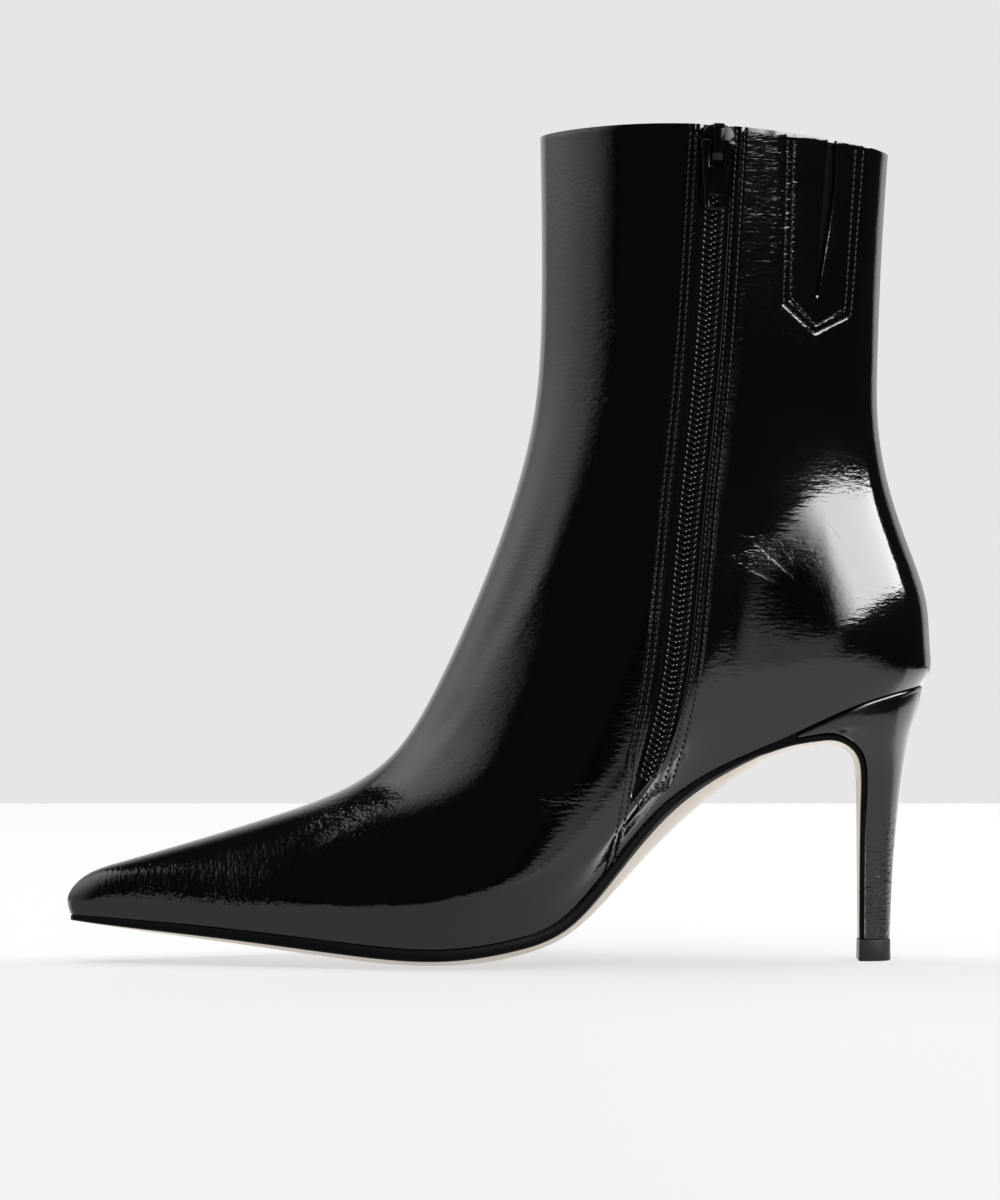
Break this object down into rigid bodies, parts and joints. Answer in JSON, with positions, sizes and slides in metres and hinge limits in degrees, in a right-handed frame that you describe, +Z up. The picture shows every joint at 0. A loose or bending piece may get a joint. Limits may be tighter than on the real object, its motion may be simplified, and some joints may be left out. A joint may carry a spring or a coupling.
{
  "type": "ankle boot",
  "caption": "Pointed-toe ankle boot for the right foot with a slim high heel, an inside zip and a slit over elastic at the collar.",
  "frame": {"origin": "on the floor, under the middle of the boot's overall length and width", "axes": "+Z up, +X from toe to heel, -Y the inner (zipped) side"},
  "size_m": [0.258, 0.077, 0.2478],
  "materials": {
    "upper_leather": "high gloss, finely crinkled",
    "sole_leather": "smooth, pale tread face with a black edge",
    "heel_leather": "high gloss cover",
    "heel_tip_rubber": "satin",
    "insole_leather": "matte",
    "zip_tape_cloth": "woven",
    "zip_coil_plastic": "satin",
    "gore_elastic_cloth": "ribbed",
    "slider_metal": "gloss black",
    "pull_metal": "gloss black"
  },
  "bodies": {
    "boot": {"upper": "upper_leather", "outsole": "sole_leather", "heel": "heel_leather", "heel_tip": "heel_tip_rubber", "insole": "insole_leather", "zip_tape": "zip_tape_cloth", "zip_coil": "zip_coil_plastic", "gore_elastic": "gore_elastic_cloth", "zip_slider": "slider_metal"},
    "pull_tab": {"zip_pull": "pull_metal"}
  },
  "joints": [
    {"name": "pull_hinge", "type": "hinge", "parent": "boot", "child": "pull_tab", "pos_m": [0.06372, -0.03509, 0.24174], "axis": [-0.9983, 0.0138, 0.0557], "range_deg": [0, 165]}
  ]
}
